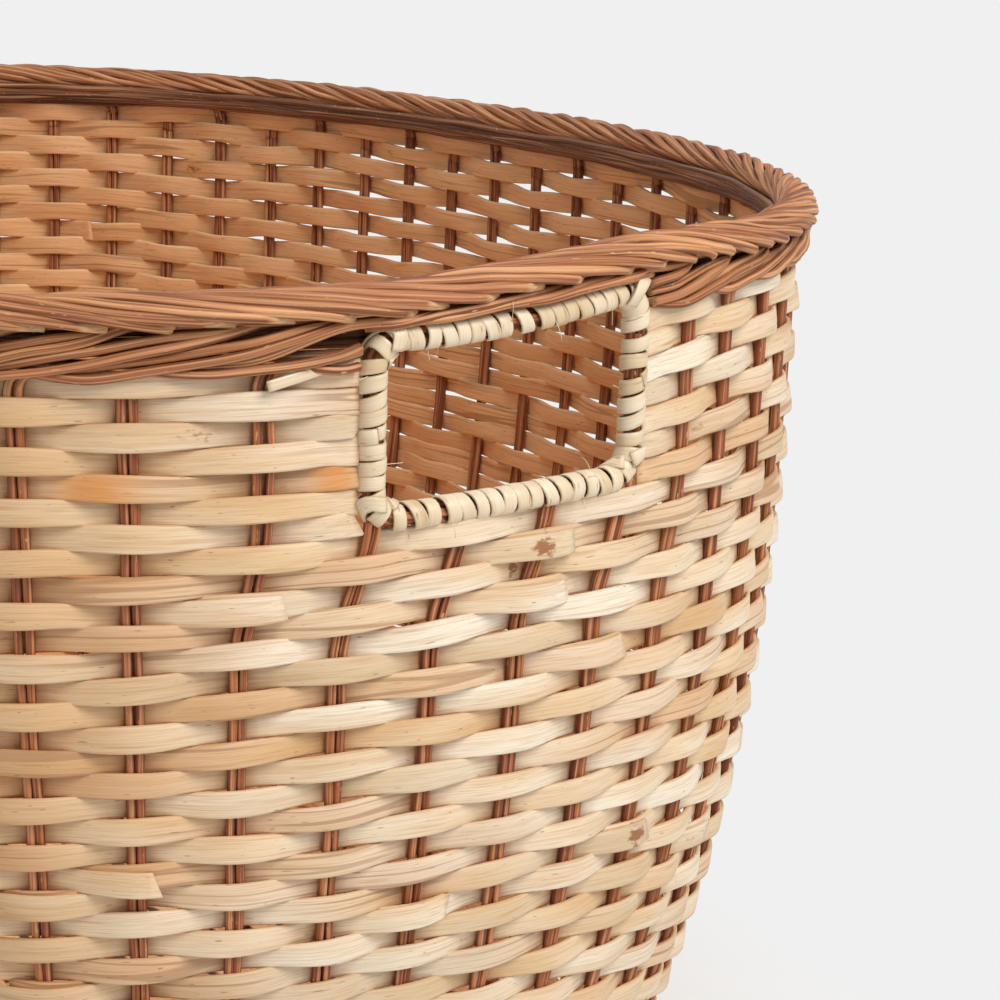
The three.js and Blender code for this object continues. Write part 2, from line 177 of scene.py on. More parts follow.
def on_wall(along, depth, out=0.0):
    """Points of the wall, with the direction that looks out of it at each of them."""
    along, depth, out = np.broadcast_arrays(*(np.asarray(v, float) for v in (along, depth, out)))
    moved, lift = warp(along, depth)
    place, away = plan_place(moved)
    lean = np.interp(depth, down_steps, lean_steps)[..., None]
    above = np.minimum(depth, 0)
    inset = np.interp(depth, down_steps, inset_steps) + above * math.sin(LEAN_TOP)
    drop = np.interp(depth, down_steps, drop_steps) + above * math.cos(LEAN_TOP)
    normal = away * np.cos(lean) - UP * np.sin(lean)
    z = WEAVE_TOP_Z - drop + lift
    points = place - away * inset[..., None] + UP * z[..., None] + normal * out[..., None]
    return points, normal


def stake_along(stake):
    return (stake + 0.5) * PITCH


print("map of the wall ready; right end at", np.round(on_wall(0, 0)[0], 1))

# %% [markdown]
# ## Bending a strand
# A cane and a split strip are both long thin rods. Each starts as a straight rod with cut
# ends, made by one cone operator and cut into rings, and is then laid along its line ring by
# ring. Every point keeps a note of where it lay on the straight rod, so that the grain in the
# materials follows the fibres. A curve with a bevel would be quicker, but it could not
# change its width and thickness on the way or carry that note.

# %% Straight rods
rods = {}


@dataclass
class Strand:
    """A rod to bend: its middle line, where its face looks, and its sizes, in millimetres."""
    line: np.ndarray
    face: np.ndarray
    thick: object
    wide: object
    sides: int = 8
    square: float = 2.0
    seed: float = 0.0
    mark: object = 0.0
    dip: object = 0.0
    slant: float = 0.0


def as_mesh(bm, name):
    mesh = bpy.data.meshes.new(name)
    bm.to_mesh(mesh)
    bm.free()
    return mesh


def straight_rod(sides, rings):
    """A rod of unit radius with rings one apart, made once for each size."""
    if (sides, rings) not in rods:
        bm = bmesh.new()
        bmesh.ops.create_cone(bm, cap_ends=True, cap_tris=False, segments=sides,
                              radius1=1, radius2=1, depth=rings - 1)
        bmesh.ops.translate(bm, verts=bm.verts, vec=(0, 0, (rings - 1) / 2))
        long_edges = [e for e in bm.edges if abs(e.verts[0].co.z - e.verts[1].co.z) > 0.5]
        bmesh.ops.subdivide_edges(bm, edges=long_edges, cuts=rings - 2)
        mesh = as_mesh(bm, "straight_rod")
        points = np.empty(len(mesh.vertices) * 3, np.float32)
        mesh.vertices.foreach_get("co", points)
        rods[sides, rings] = mesh, points.reshape(-1, 3).astype(float)
    return rods[sides, rings]


print("points of a rod with 8 sides and 5 rings:", len(straight_rod(8, 5)[1]))

# %% Bending
# Each strand takes its grain from its own place in the noise, so that no two look alike.
GRAIN_ALONG = 370
GRAIN_THROUGH = 50
NOTES = ("edge", "side", "mark", "dip")


def unit(v):
    return v / np.linalg.norm(v, axis=-1, keepdims=True)


def bend(strand):
    """Points of a strand in place, with the notes that the finishes read from them."""
    count = len(strand.line)
    _, rod = straight_rod(strand.sides, count)
    ring = np.rint(rod[:, 2]).astype(int)
    run_way = unit(np.gradient(strand.line, axis=0))
    face = strand.face - run_way * np.sum(strand.face * run_way, axis=1, keepdims=True)
    face = unit(face)
    side = np.cross(run_way, face)
    thick, wide = (np.broadcast_to(v, count)[ring] / 2 for v in (strand.thick, strand.wide))
    mark, dip = (np.broadcast_to(v, count)[ring] for v in (strand.mark, strand.dip))
    power = 2 / strand.square
    through = thick * np.sign(rod[:, 0]) * np.abs(rod[:, 0]) ** power
    across = wide * np.sign(rod[:, 1]) * np.abs(rod[:, 1]) ** power
    steps = np.linalg.norm(np.diff(strand.line, axis=0), axis=1)
    length = np.append(0, np.cumsum(steps))[ring]
    cut = np.where(ring == count - 1, strand.slant * across, 0)
    points = strand.line[ring] + face[ring] * through[:, None] + side[ring] * across[:, None]
    points = points + run_way[ring] * cut[:, None]
    length = length + GRAIN_ALONG * strand.seed
    lie = np.column_stack([length, across, through + GRAIN_THROUGH * strand.seed])
    return points * MM, lie * MM, np.abs(across) / wide, through / thick, mark, dip


def note(mesh, name, kind, values):
    attribute = mesh.attributes.new(name, kind, "POINT")
    attribute.data.foreach_set("vector" if kind == "FLOAT_VECTOR" else "value", values.ravel())


print("notes on every point: lie and", NOTES)

# %% Pieces
# Where the random numbers of each kind of strand start.
DRAWS = {"row_start": 40, "row": 1000, "stake": 3000, "border": 5000, "long_cane": 6000,
         "winding": 7000, "frayed": 7600, "mat": 8000}


def put(name, data):
    thing = bpy.data.objects.new(name, data)
    scene.collection.objects.link(thing)
    return thing


def make_piece(name, strands, finishes, nodes):
    """One object of many bent strands, which stands for some solids of the frame."""
    bm = bmesh.new()
    for strand in strands:
        bm.from_mesh(straight_rod(strand.sides, len(strand.line))[0])
    mesh = as_mesh(bm, name)
    points, lie, *notes = (np.concatenate(parts) for parts in zip(*(bend(strand) for strand in strands)))
    mesh.vertices.foreach_set("co", points.ravel())
    note(mesh, "lie", "FLOAT_VECTOR", lie)
    for name_of_note, values in zip(NOTES, notes):
        note(mesh, name_of_note, "FLOAT", values)
    corners = np.empty(len(mesh.polygons), np.int32)
    mesh.polygons.foreach_get("loop_total", corners)
    ends = corners > 4
    mesh.polygons.foreach_set("use_smooth", ~ends)
    for finish in finishes:
        mesh.materials.append(finish)
    mesh.polygons.foreach_set("material_index", np.where(ends, len(finishes) - 1, 0).astype(np.int32))
    mesh.update()
    piece = put(name, mesh)
    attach(piece, "root")
    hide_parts(*nodes)
    return piece


def draws(kind, number):
    return np.random.default_rng(DRAWS[kind] + number)


def wander(rng, along, reach, size):
    """Slow unevenness along a strand: a few waves about as long as reach."""
    total = np.zeros_like(along)
    for share in (1.0, 0.57, 0.31):
        wave = reach * share * rng.uniform(0.8, 1.25)
        total += share * np.sin(2 * np.pi * (along / wave + rng.uniform()))
    return total * size / 1.2


print("kinds of strand with random numbers of their own:", len(DRAWS))

# %% [markdown]
# ## Sums on surfaces
# A finish here is a tree of nodes. Writing the sums as Python keeps them readable, so one
# small class holds a socket: plus, minus and times add Math nodes, and one method makes
# every other node.

# %% Wires
class Wire:
    """A socket of a material's node tree."""

    def __init__(self, tree, socket=None):
        self.tree = tree
        self.socket = socket

    def node(self, kind, inputs=None, out=0, **settings):
        """A node of any kind, with the values or links of its sockets and its settings."""
        made = self.tree.nodes.new("ShaderNode" + kind)
        for name, value in settings.items():
            setattr(made, name, value)
        for name, value in (inputs or {}).items():
            if isinstance(value, Wire):
                self.tree.links.new(value.socket, made.inputs[name])
            else:
                made.inputs[name].default_value = value
        return Wire(self.tree, made.outputs[out])

    def sum(self, operation, first, second):
        return self.node("Math", {0: first, 1: second}, operation=operation)

    def __add__(self, other):
        return self.sum("ADD", self, other)

    __radd__ = __add__

    def __sub__(self, other):
        return self.sum("SUBTRACT", self, other)

    def __rsub__(self, other):
        return self.sum("SUBTRACT", other, self)

    def __mul__(self, other):
        return self.sum("MULTIPLY", self, other)

    __rmul__ = __mul__

    def blend(self, low, high, how="MIX"):
        """Colour between two colours, where this wire is the share of the second."""
        return self.node("Mix", {0: self, 6: low, 7: high}, 2, data_type="RGBA", blend_type=how)

    def between(self, low, high):
        """This value run from 0 at low to 1 at high, and held there."""
        return self.node("MapRange", {"Value": self, "From Min": low, "From Max": high},
                         interpolation_type="SMOOTHSTEP")


def colour(code):
    """Linear colour of a six-digit colour code."""
    parts = [int(code[i:i + 2], 16) / 255 for i in (0, 2, 4)]
    linear = [c / 12.92 if c <= 0.04045 else ((c + 0.055) / 1.055) ** 2.4 for c in parts]
    return (*linear, 1.0)


print("cream as written:", np.round(colour("e9dcc6"), 3))

# %% [markdown]
# ## Rattan finishes
# Rattan is bundles of fibres: close to, its colour runs in fine streaks along the strand,
# with slower changes from cream to tan along its length and the odd dark speck. All of it
# comes from noise that is stretched along the straight rod. A finish is a ground colour with
# coats over it, and each coat shows where one noise is high.

# %% Grain of a strand
def grain(start, along, across, detail=3.0):
    """Noise on the straight rod, with so many changes per metre along it and across it."""
    lie = start.node("Attribute", out=1, attribute_name="lie")
    stretched = start.node("VectorMath", {0: lie, 1: (along, across, across)}, operation="MULTIPLY")
    return start.node("TexNoise", {"Vector": stretched, "Scale": 1.0, "Detail": detail, "Roughness": 0.6})


def note_of(start, name):
    return start.node("Attribute", out=2, attribute_name=name)


def coated(base, *coats):
    """Colour under coats: each has a value, where it starts and where it is full, a share and a colour."""
    for value, low, high, share, code in coats:
        base = (value.between(low, high) * share).blend(base, colour(code))
    return base


def new_finish(name, roughness, rough_change, bump, gloss=0.0):
    """Start of a material, and a function that ends it with its base colour and its fibres."""
    material = bpy.data.materials.new(name)
    material.use_nodes = True
    tree = material.node_tree
    shader = tree.nodes["Principled BSDF"]
    shader.inputs["Specular IOR Level"].default_value = 0.4
    shader.inputs["Coat Weight"].default_value = gloss
    shader.inputs["Coat Roughness"].default_value = 0.25
    start = Wire(tree)

    def finish(base, fibres):
        tree.links.new(base.socket, shader.inputs["Base Color"])
        dull = roughness + rough_change * fibres
        tree.links.new(dull.socket, shader.inputs["Roughness"])
        raised = start.node("Bump", {"Strength": 0.6, "Distance": bump * MM, "Height": fibres})
        tree.links.new(raised.socket, shader.inputs["Normal"])
        return material

    return start, finish


print("finishes can be mixed")

# %% [markdown]
# ### Split strips
# The strips are pale and dull. Outside they are cream to tan and greyer in places; along the
# front a warm tint of painted shade darkens them, and painted shade darkens them where they
# dip behind a stake. Inside they stayed golden. Some have split along the fibres, and some
# keep a brown scrap of bark or an amber streak.

# %% Strip finish
# Painted warm shade over the front of the basket: in metres from its middle, where it starts and where it is
# full.
PAINTED_SHADE_FROM = 0.03
PAINTED_SHADE_FULL = 0.12


def strip_outside(start, coarse, patches, blush):
    greying = grain(start, 5, 22, 1.0)
    outer = patches.between(0.34, 0.66).blend(colour("e9dcc6"), colour("dcbf98"))
    outer = patches.between(0.58, 0.78).blend(outer, colour("cea471"))
    outer = coated(outer, (blush, 0.45, 0.7, 0.7, "d2a983"), (coarse, 0.46, 0.7, 0.38, "c79b6d"),
                   (greying, 0.5, 0.68, 0.55, "c1a985"))
    place = start.node("TexCoord", out=3)
    front = 0.0 - start.node("SeparateXYZ", {0: place}, 1)
    # The front of the basket is tinted warmer and darker: painted shade.
    outer = front.between(PAINTED_SHADE_FROM, PAINTED_SHADE_FULL).blend(outer, colour("f4e2cd"), "MULTIPLY")
    # Where the strip dips behind a stake it is darkened: painted shade.
    return coated(outer, (note_of(start, "dip"), 0.85, 1.0, 0.5, "b17544"))


def strip_marks(start, base, fibres, blush):
    """Splits along the fibres, brown scraps and amber streaks."""
    cracks = grain(start, 5, 240, 0.0) - 0.5
    split = (1.0 - (cracks * cracks).between(0.0002, 0.0013)) * blush.between(0.5, 0.6)
    base = (split * 0.5).blend(base, colour("8a5a30"))
    mark = note_of(start, "mark")
    blotches = grain(start, 420, 900, 2.0)
    stain = mark * (0.2 + 2.0 * blotches - 0.9 * note_of(start, "edge"))
    base = coated(base, (stain, 0.4, 0.75, 0.9, "8f5526"))
    amber = (0.0 - mark).between(0.1, 0.9) * (0.3 + fibres)
    return amber.blend(base, colour("d3863a"))


def split_rattan():
    start, finish = new_finish("split_rattan_strip", 0.46, 0.25, 0.14)
    fibres = grain(start, 70, 2900, 4.0)
    coarse = grain(start, 12, 900)
    patches = grain(start, 9, 45, 2.0)
    blush = grain(start, 7, 30, 1.0)
    scars = grain(start, 45, 420, 1.0)
    specks = grain(start, 300, 1900, 0.0)
    outer = strip_outside(start, coarse, patches, blush)
    inner = patches.between(0.35, 0.7).blend(colour("f6c592"), colour("e8ae79"))
    inner = coated(inner, (coarse, 0.5, 0.72, 0.5, "bd8250"))
    turned_in = (0.0 - note_of(start, "side")).between(0.05, 0.5)
    # Over fibres, scars and specks, the edges of a strip are darkened: partly painted shade where
    # neighbouring strips meet, partly dust.
    base = coated(turned_in.blend(outer, inner),
                  (fibres, 0.44, 0.72, 0.45, "ab7b48"), (scars, 0.68, 0.82, 0.45, "ad7238"),
                  (specks, 0.80, 0.84, 0.55, "7a4f2a"), (note_of(start, "edge"), 0.86, 1.0, 0.3, "b98a54"))
    return finish(strip_marks(start, base, fibres, blush), fibres)


strip_finish = split_rattan()
print("finish:", strip_finish.name)

# %% [markdown]
# ### Canes, peel and cut ends
# The canes were stained a reddish brown, and the stain lies unevenly in streaks. Their flanks
# are darkened with painted shade, and the canes that line the band are painted darker still
# for the shade under the roll. Where a cane is cut off slantwise its paler inside shows. The
# peel that binds the hand holes keeps its smooth shiny skin, so it gets a thin clear coat.

# %% Cane, peel and cut finishes
def stained_and_shaded_cane(name, pale, middle, dark):
    start, finish = new_finish(name, 0.45, 0.3, 0.3)
    fibres = grain(start, 30, 2200)
    streaks = grain(start, 11, 1100, 2.0)
    patches = grain(start, 12, 45, 2.0)
    specks = grain(start, 400, 1600, 0.0)
    base = patches.between(0.38, 0.62).blend(colour(middle), colour(pale))
    # Streaks and specks of the stain, and the flanks of the cane darkened towards its dark colour: painted
    # shade in the gaps between canes.
    base = coated(base, (1.0 - streaks, 0.5, 0.66, 0.45, "dfae84"), (streaks, 0.46, 0.64, 0.85, dark),
                  (fibres, 0.46, 0.7, 0.55, dark), (specks, 0.78, 0.83, 0.6, "d8b07a"),
                  (note_of(start, "edge"), 0.7, 1.0, 0.6, dark))
    cut_face = note_of(start, "mark") * note_of(start, "side").between(-0.2, 0.3)
    base = cut_face.blend(base, fibres.between(0.4, 0.7).blend(colour("cfa276"), colour("a8764a")))
    return finish(base, fibres)


def rattan_peel():
    start, finish = new_finish("rattan_peel_skin", 0.26, 0.3, 0.1, gloss=0.25)
    fibres = grain(start, 25, 3000)
    patches = grain(start, 25, 110, 2.0)
    specks = grain(start, 260, 1300, 0.0)
    base = patches.between(0.35, 0.7).blend(colour("e2d0b4"), colour("d0b790"))
    base = patches.between(0.6, 0.78).blend(base, colour("bd986a"))
    base = coated(base, (fibres, 0.45, 0.8, 0.5, "b3966c"), (specks, 0.78, 0.83, 0.6, "8f7443"),
                  (note_of(start, "edge"), 0.78, 1.0, 0.4, "8f6f47"))
    return finish(base, fibres)


def cut_pith():
    start, finish = new_finish("cut_cane_end", 0.7, 0.2, 0.2)
    dots = grain(start, 1500, 2600, 1.0)
    base = dots.between(0.4, 0.7).blend(colour("deb98c"), colour("a5744a"))
    return finish(base, dots)


stake_finish = stained_and_shaded_cane("stained_stake_cane", "c07849", "a05931", "602b13")
border_finish = stained_and_shaded_cane("stained_border_cane", "cc8f5d", "b07045", "6c3a1f")
# The lining canes are a darker brown: painted shade under the overhanging roll.
shaded_lining_finish = stained_and_shaded_cane("lining_cane_painted_shade", "93603f", "77482e", "43220f")
peel_finish = rattan_peel()
pith_finish = cut_pith()
strip_finishes = [strip_finish, pith_finish]
stake_finishes = [stake_finish, pith_finish]
print("finishes in all:", len(bpy.data.materials))

# %% [markdown]
# ## Weaving the wall
# Each row is one split strip that passes in front of a stake and behind the next, and its
# neighbours do the opposite. On the wall's map that is a wave. Outside a stake the strip rides
# a little higher than inside it, so the rows shut like shingles seen from outside. At the back
# they lie level, which leaves slots of light seen from inside. There some rows also went out
# of step, and three rows lie together. A row is closed by laying its end over its beginning.

# %% Sizes of the weave
SWING = 2.0
STRIP_THICK = 1.4
STRIP_CROSS = 6.4
STRIP_CREST = 7.2
RIDE = 0.35
SHINGLE = math.radians(7)
STEPS_PER_STAKE = 12
# At the back, and where the back is shut again: first and last place in stakes, and the fade.
FAR_WALL = (10, 29, 3)
FAR_STRIP = 6.4
FAR_MIDWAY = 0.8
FAR_RIDE = 0.0
SHUT_WALL = (22, 29, 3)
SHUT_WIDER = 0.9
SHUT_RIDE = -0.3
# Ends of a row: the lap, how it is cut, and where a row rests on the bar of a hand hole.
LAP = 1.4 * PITCH
LAP_EASE = 18
LAP_DROP = 0.5
END_LENGTH = 9
END_THINNER = 0.55
END_SLANT = 0.7
BAR_REST = 1.5 * PITCH + 4.2
BAR_EASE = 0.6 * PITCH
# Rise and fall that neighbouring rows share: size, length, start, and change from row to row.
SHARED_WAVES = ((0.5, 210, 0.0, 0.35), (0.35, 93, 1.3, -0.55))
# Rows that went out of step at the back, with the first and last place in stakes.
OUT_OF_STEP = {12: (15, 18), 15: (15, 19), 18: (16, 20)}
# Rows whose end is put at a chosen place, in stakes.
JOINS = {9: 0.89, 10: -2.2, 11: 1.03, 13: 20.0, 14: 1.95, 21: -3.3, 22: -3.5, 23: 2.75, 24: -0.1}
# Marks on rows: row, place in stakes, length, and strength, which is below zero for an amber one.
MARKS = ((9, 0.45, 4.5, 0.85), (10, 0.27, 2.0, 0.9), (23, 2.5, 5.0, 0.9), (6, 2.9, 7.0, 0.5),
         (5, -3.8, 13.0, -0.75), (5, -1.9, 7.0, -0.75))
print("strips of", STRIP_THICK, "by", STRIP_CROSS, "to", STRIP_CREST, "mm")

# %% One row
def over_and_under(row, along):
    """1 where a row lies outside a stake and -1 where it lies inside one."""
    wave = np.sin(np.pi * along / PITCH) * (-1) ** (row + 1)
    if row in OUT_OF_STEP:
        first, last = OUT_OF_STEP[row]
        stakes = np.mod(along, PERIMETER) / PITCH
        wave = np.where((stakes > first) & (stakes < last), -wave, wave)
        wave = np.convolve(np.pad(wave, 1, "edge"), [0.25, 0.5, 0.25], "valid")
    return wave


def marks(rng, row, along, faint=5, lengths=(2, 12), strengths=(0.1, 0.45)):
    """Strength of the marks along a row, with a few faint ones anywhere on it."""
    places = []
    for _ in range(faint):
        place = along[0] + rng.uniform(0, np.ptp(along))
        places.append((place, rng.uniform(*lengths), rng.uniform(*strengths)))
    for marked, place, length, strength in MARKS:
        if marked == row:
            places += [(place * PITCH + turns * PERIMETER, length, strength) for turns in (0, 1, 2)]
    return np.clip(sum(s * np.exp(-((along - p) / n) ** 2) for p, n, s in places), -1, 1)


def weave(row, start, stop, lap, seed):
    """Strip of one row, which closes on itself with a lap or rests on bars at both ends."""
    rng = draws("row", seed)
    count = int((stop - start) / PITCH * STEPS_PER_STAKE) + 1
    along = np.linspace(start, stop, count)
    wave = over_and_under(row, along)
    out = SWING * wave + wander(rng, along, reach=60, size=0.1)
    far = far_side(along, *FAR_WALL)
    shut = far_side(along, *SHUT_WALL)
    ride = RIDE + (FAR_RIDE - RIDE) * far + SHUT_RIDE * shut
    shared = sum(size * np.sin(2 * np.pi * along / length + begin + row * change)
                 for size, length, begin, change in SHARED_WAVES)
    depth = (row - 0.5) * ROW - ride * wave + shared + wander(rng, along, reach=75, size=0.2)
    if lap:
        under = 1 - soft_step(along, start + LAP, start + LAP + LAP_EASE)
        over = soft_step(along, stop - LAP - LAP_EASE, stop - LAP)
        out = out + STRIP_THICK / 2 * (over * (wave + 1) + under * (wave - 1))
        depth = depth + LAP_DROP * over
    else:
        out = out * soft_step(along, start, start + BAR_EASE) * (1 - soft_step(along, stop - BAR_EASE, stop))
    wide = STRIP_CROSS + (STRIP_CREST - STRIP_CROSS) * np.abs(wave)
    wide = wide + (FAR_STRIP + FAR_MIDWAY * (1 - wave ** 2) - wide) * far
    wide = wide + SHUT_WIDER * shut + wander(rng, along, reach=90, size=0.28)
    ends = 1 - soft_step(along, start, start + END_LENGTH) + soft_step(along, stop - END_LENGTH, stop)
    thick = (STRIP_THICK + wander(rng, along, reach=120, size=0.12)) * (1 - END_THINNER * ends)
    line, normal = on_wall(along, depth, out)
    tilt = (SHINGLE + wander(rng, along, reach=110, size=math.radians(4)))[:, None]
    up = unit(np.cross(normal, unit(np.gradient(line, axis=0))))
    return Strand(line, normal * np.cos(tilt) + up * np.sin(tilt), thick, wide,
                  sides=12, square=5.5, seed=seed % 97 + 1,
                  mark=marks(rng, row, along), dip=(1 - wave) / 2,
                  slant=rng.uniform(-END_SLANT, END_SLANT))


print("steps of a whole row:", int((PERIMETER + LAP) / PITCH * STEPS_PER_STAKE) + 1)

# %% All rows
# Names of the two bands of rows beside the hand holes, with their first and last row.
ARC_BANDS = {"01": (1, 3), "02": (4, ROWS_BESIDE_HOLE)}
ARC_STARTS = {"front": HALF_ROUND, "back": 0}
FIRST_COURSE = len(ARC_BANDS) + 1


def whole_row(row):
    start = draws("row_start", row).uniform(0, PERIMETER)
    if row in JOINS:
        start = np.mod(JOINS[row] * PITCH - LAP, PERIMETER)
    return weave(row, start, start + PERIMETER + LAP, True, row)


def arc_row(row, side):
    start = ARC_STARTS[side] + BAR_REST
    return weave(row, start, start + HALF_ROUND - 2 * BAR_REST, False, 50 + row + (side == "back") * 20)


for course in range((ROWS - ROWS_BESIDE_HOLE) // ROWS_PER_COURSE):
    first = ROWS_BESIDE_HOLE + 1 + ROWS_PER_COURSE * course
    last = first + ROWS_PER_COURSE - 1
    rows = [whole_row(row) for row in range(first, last + 1)]
    make_piece(f"weaver_rows_{first:02d}_{last:02d}", rows, strip_finishes,
               [f"weaver_course_{course + FIRST_COURSE:02d}"])
for side in ARC_STARTS:
    for band, (first, last) in ARC_BANDS.items():
        rows = [arc_row(row, side) for row in range(first, last + 1)]
        make_piece(f"weaver_rows_{side}_{first:02d}_{last:02d}", rows, strip_finishes,
                   [f"weaver_{side}_{band}"])
print("rows woven:", ROWS)

# %% [markdown]
# ## Stakes
# The stakes carry the weave. Each is a pair of thin canes side by side, and at the foot both
# turn in under the base. The pairs at the hand holes stop at the lower bar.

# %% Stakes
CANE = 2.65
STAKE_CANE = 2.45
PAIR_HALF = 1.27
TURN_Z = 8.05
TURN_INSET = FOOT_INSET + (WALL_FOOT_Z - TURN_Z) * math.tan(LEAN_FOOT)
TURN_IN = 14.0
LOWER_BAR = 42.1
STAKES_BESIDE_MIDDLE = 2
STAKE_FOOT_STEP = 4.0


def stake_top(stake):
    """Depth at which the border takes a stake over, behind a strip that hides the place."""
    from_hole = min(stake % HALF_STAKES, HALF_STAKES - 1 - stake % HALF_STAKES)
    if from_hole < STAKES_BESIDE_MIDDLE:
        return LOWER_BAR
    return 0.5 * ROW if stake % 2 == 0 else 1.5 * ROW


def stake_foot(along):
    """Knots of the bend at the foot of a cane, and where its face looks there."""
    place, away = plan_place(along)
    bend_in = TURN_INSET - FOOT_INSET
    fall = TURN_Z - WALL_FOOT_Z
    inward = np.array([[bend_in / 2 + 1], [bend_in + 2], [bend_in + 6], [bend_in + TURN_IN]])
    rise = np.array([[fall / 2 + 0.4], [fall + 0.8], [fall], [fall]])
    foot = place - away * (FOOT_INSET + inward) + UP * (WALL_FOOT_Z + rise)
    return foot, np.repeat(away, len(foot), axis=0) * 0.3 - UP


def stake_cane(stake, side, seed, rings=64, ease=15):
    rng = draws("stake", seed)
    top = stake_top(stake)
    depth = np.linspace(top, WALL, rings)
    free = soft_step(depth, top, top + ease)
    along = stake_along(stake) + side * PAIR_HALF + wander(rng, depth, reach=70, size=0.22) * free
    wall, normal = on_wall(along, depth, wander(rng, depth, reach=50, size=0.12) * free)
    foot, foot_face = stake_foot(along[-1:])
    line = np.vstack([wall, foot])
    size = STAKE_CANE * (1 + wander(rng, np.arange(len(line)) * STAKE_FOOT_STEP, reach=80, size=0.04))
    return Strand(line, np.vstack([normal, foot_face]), size, size, seed=seed % 89 + 1)


hairpin_firsts = range(1, STAKES, 2)
for number, first in enumerate(hairpin_firsts, 1):
    canes = [stake_cane(k % STAKES, side, 4 * number + 2 * leg + (side > 0))
             for leg, k in enumerate((first, first + 1)) for side in (-1, 1)]
    make_piece(f"stake_pairs_{number:02d}", canes, stake_finishes,
               [f"stake_hairpin_{number:02d}"])
print("stakes:", 2 * len(hairpin_firsts))

# %% [markdown]
# ## The plaited border
# Above the weave the same canes go on. Each pair bends to the right, climbs slowly across the
# outside of the next stakes, dives to the inside, comes up over the top as part of the roll
# and ends, cut off slantwise, in the groove below. One route with a few knots, repeated at all
# the stakes, plaits the whole border. Over a hand hole the band is squeezed to what the bar
# leaves free, and canes that lie too low for it are cut off beside the bar. Long canes fill
# the roll and line the band on the inside.

# %% Route of a border cane
# Knots of the route: stakes along, out of the wall and up from the weave, in millimetres.
ROUTE = np.array([
    [0.00, 0.0, -4.0],
    [0.04, 0.2, -0.8],
    [0.16, 1.1, 0.6],
    [0.38, 2.2, 0.5],
    [0.70, 2.8, 0.5],
    [1.05, 3.0, 1.5],
    [1.60, 3.0, 4.1],
    [2.20, 2.8, 7.2],
    [2.70, 1.4, 9.0],
    [3.10, -1.6, 11.0],
    [3.45, -3.0, 12.0],
    [3.80, -3.9, 12.9],
    [4.20, -4.3, 14.2],
    [4.60, -3.8, 16.0],
    [5.00, -2.6, 17.6],
    [5.45, 0.6, 18.0],
    [5.95, 3.4, 16.9],
    [6.45, 5.2, 15.2],
    [6.95, 5.3, 13.2],
    [7.35, 3.4, 11.3],
])
BAND_TOP = 10.0
DIVE = 2.85
OVER_BAR_UP = 9.0
OVER_BAR_SHARE = 0.17
OVER_BAR_HALF = 1.66 * PITCH
BIGGEST_STEP = 3.8


def squeeze(along, up):
    """Heights above the weave where the band is lower than usual and the roll comes down with it."""
    share = flowing(from_near_hole(along), RIM_PLACES, BAND_SHARES)
    return up - (1 - share) * np.clip(up, 0, BAND_TOP)


def over_bar(shift, up, hole):
    """Heights squeezed above the bar of a hand hole, and where the cane is cut because it lies too low."""
    squeezed = OVER_BAR_UP + OVER_BAR_SHARE * up
    inside = (np.abs(hole) < OVER_BAR_HALF) & (shift < DIVE)
    crossings = np.flatnonzero(np.diff(inside.astype(int))) + 1
    cuts = [i for i in crossings if shift[i] < DIVE and squeezed[i] - up[i] > BIGGEST_STEP]
    share = 1 - soft_step(np.abs(hole), OVER_BAR_HALF, OVER_BAR_HALF + PITCH)
    for i in cuts:
        share = np.where(hole * hole[i] > 0, np.abs(hole) < OVER_BAR_HALF, share)
    share = share * (1 - soft_step(shift, 2.5, 3.3))
    return up + (squeezed - up) * share, cuts


print("knots of the route:", len(ROUTE))

# %% Border canes
END_SPREAD = (-5, 3)
# The first cane of a pair lies under the second on the outside, and the second runs on a little later.
LAYER_OUT = 0.75
LAYER_UP = 1.2
SECOND_LATER = 0.5
ROLL_THICKER = 0.12
CUT_IN = 2.4
CUT_EASE = 9
WEDGE = 7.0
WEDGE_SPREAD = (0.6, 1.2)
WEDGE_THINNER = 0.75
FEWEST_RINGS = 8


